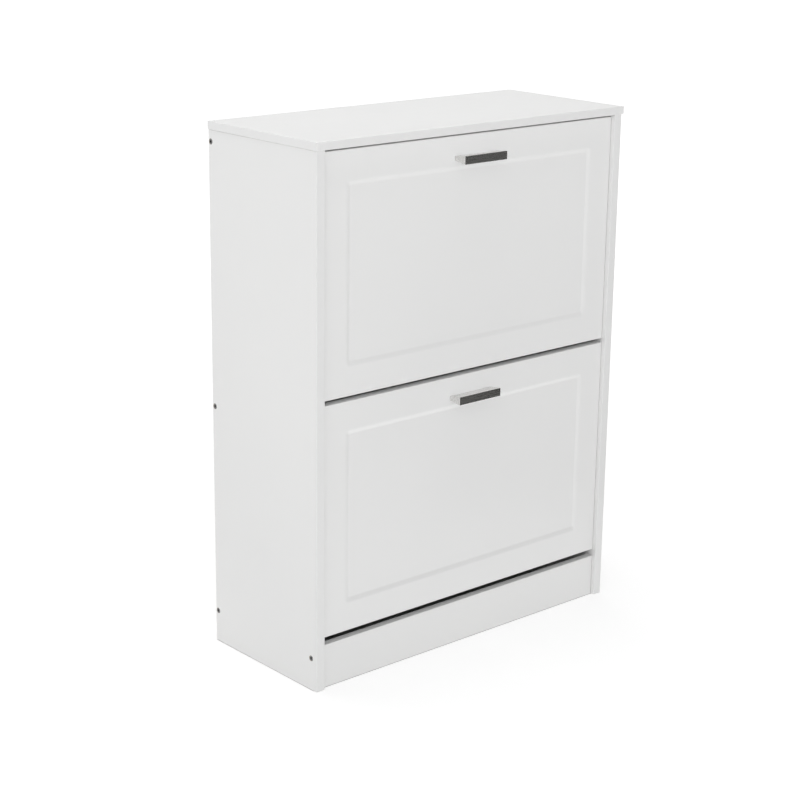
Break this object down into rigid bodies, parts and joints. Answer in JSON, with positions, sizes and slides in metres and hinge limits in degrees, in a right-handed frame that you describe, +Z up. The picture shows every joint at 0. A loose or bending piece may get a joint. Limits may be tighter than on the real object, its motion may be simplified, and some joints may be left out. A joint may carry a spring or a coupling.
{
  "type": "shoe cabinet",
  "caption": "White tip-out shoe cabinet: a shallow board carcass on a plinth, with framed doors one above the other that tilt forward with their shoe racks.",
  "frame": {"origin": "on the floor, under the middle of the whole cabinet with its handles", "axes": "+X to the right as seen from the front, +Y to the back, +Z up; the doors face -Y"},
  "size_m": [0.6, 0.262, 0.8],
  "materials": {
    "white_board": "white melamine foil on particle board, satin",
    "back_board": "white-faced hardboard",
    "rack_plastic": "dark fine-textured moulded plastic",
    "handle_metal": "brushed satin nickel",
    "screw_steel": "zinc-plated steel"
  },
  "bodies": {
    "carcass": {"top_panel": "white_board", "left_side_panel": "white_board", "right_side_panel": "white_board", "plinth": "white_board", "rear_bottom_rail": "white_board", "rear_middle_rail": "white_board", "rear_top_rail": "white_board", "back_panel": "back_board", "panel_screw_left_plinth": "screw_steel", "panel_screw_left_rear_bottom": "screw_steel", "panel_screw_left_rear_middle": "screw_steel", "panel_screw_left_rear_top": "screw_steel", "panel_screw_right_plinth": "screw_steel", "panel_screw_right_rear_bottom": "screw_steel", "panel_screw_right_rear_middle": "screw_steel", "panel_screw_right_rear_top": "screw_steel", "cam_bolt_left_front": "screw_steel", "cam_bolt_left_rear": "screw_steel", "cam_bolt_right_front": "screw_steel", "cam_bolt_right_rear": "screw_steel", "cam_disc_left_front": "screw_steel", "cam_disc_left_rear": "screw_steel", "cam_disc_right_front": "screw_steel", "cam_disc_right_rear": "screw_steel", "upper_pivot_pin_left": "screw_steel", "upper_pivot_pin_right": "screw_steel", "upper_stop_pin_left": "screw_steel", "upper_stop_pin_right": "screw_steel", "lower_pivot_pin_left": "screw_steel", "lower_pivot_pin_right": "screw_steel", "lower_stop_pin_left": "screw_steel", "lower_stop_pin_right": "screw_steel"},
    "upper_door": {"upper_door_panel": "white_board", "upper_handle": "handle_metal", "upper_handle_screw_left": "screw_steel", "upper_handle_screw_right": "screw_steel", "upper_rack_cheek_left": "rack_plastic", "upper_rack_cheek_right": "rack_plastic", "upper_rack_floor": "white_board", "upper_rack_divider": "white_board", "upper_rack_back": "white_board", "upper_cheek_screw_left_low": "screw_steel", "upper_cheek_screw_left_high": "screw_steel", "upper_cheek_screw_right_low": "screw_steel", "upper_cheek_screw_right_high": "screw_steel"},
    "lower_door": {"lower_door_panel": "white_board", "lower_handle": "handle_metal", "lower_handle_screw_left": "screw_steel", "lower_handle_screw_right": "screw_steel", "lower_rack_cheek_left": "rack_plastic", "lower_rack_cheek_right": "rack_plastic", "lower_rack_floor": "white_board", "lower_rack_divider": "white_board", "lower_rack_back": "white_board", "lower_cheek_screw_left_low": "screw_steel", "lower_cheek_screw_left_high": "screw_steel", "lower_cheek_screw_right_low": "screw_steel", "lower_cheek_screw_right_high": "screw_steel"}
  },
  "joints": [
    {"name": "upper_door_tilt", "type": "hinge", "parent": "carcass", "child": "upper_door", "pos_m": [0, -0.086, 0.475], "axis": [1, 0, 0], "range_deg": [0, 45]},
    {"name": "lower_door_tilt", "type": "hinge", "parent": "carcass", "child": "lower_door", "pos_m": [0, -0.086, 0.1188], "axis": [1, 0, 0], "range_deg": [0, 45]}
  ]
}
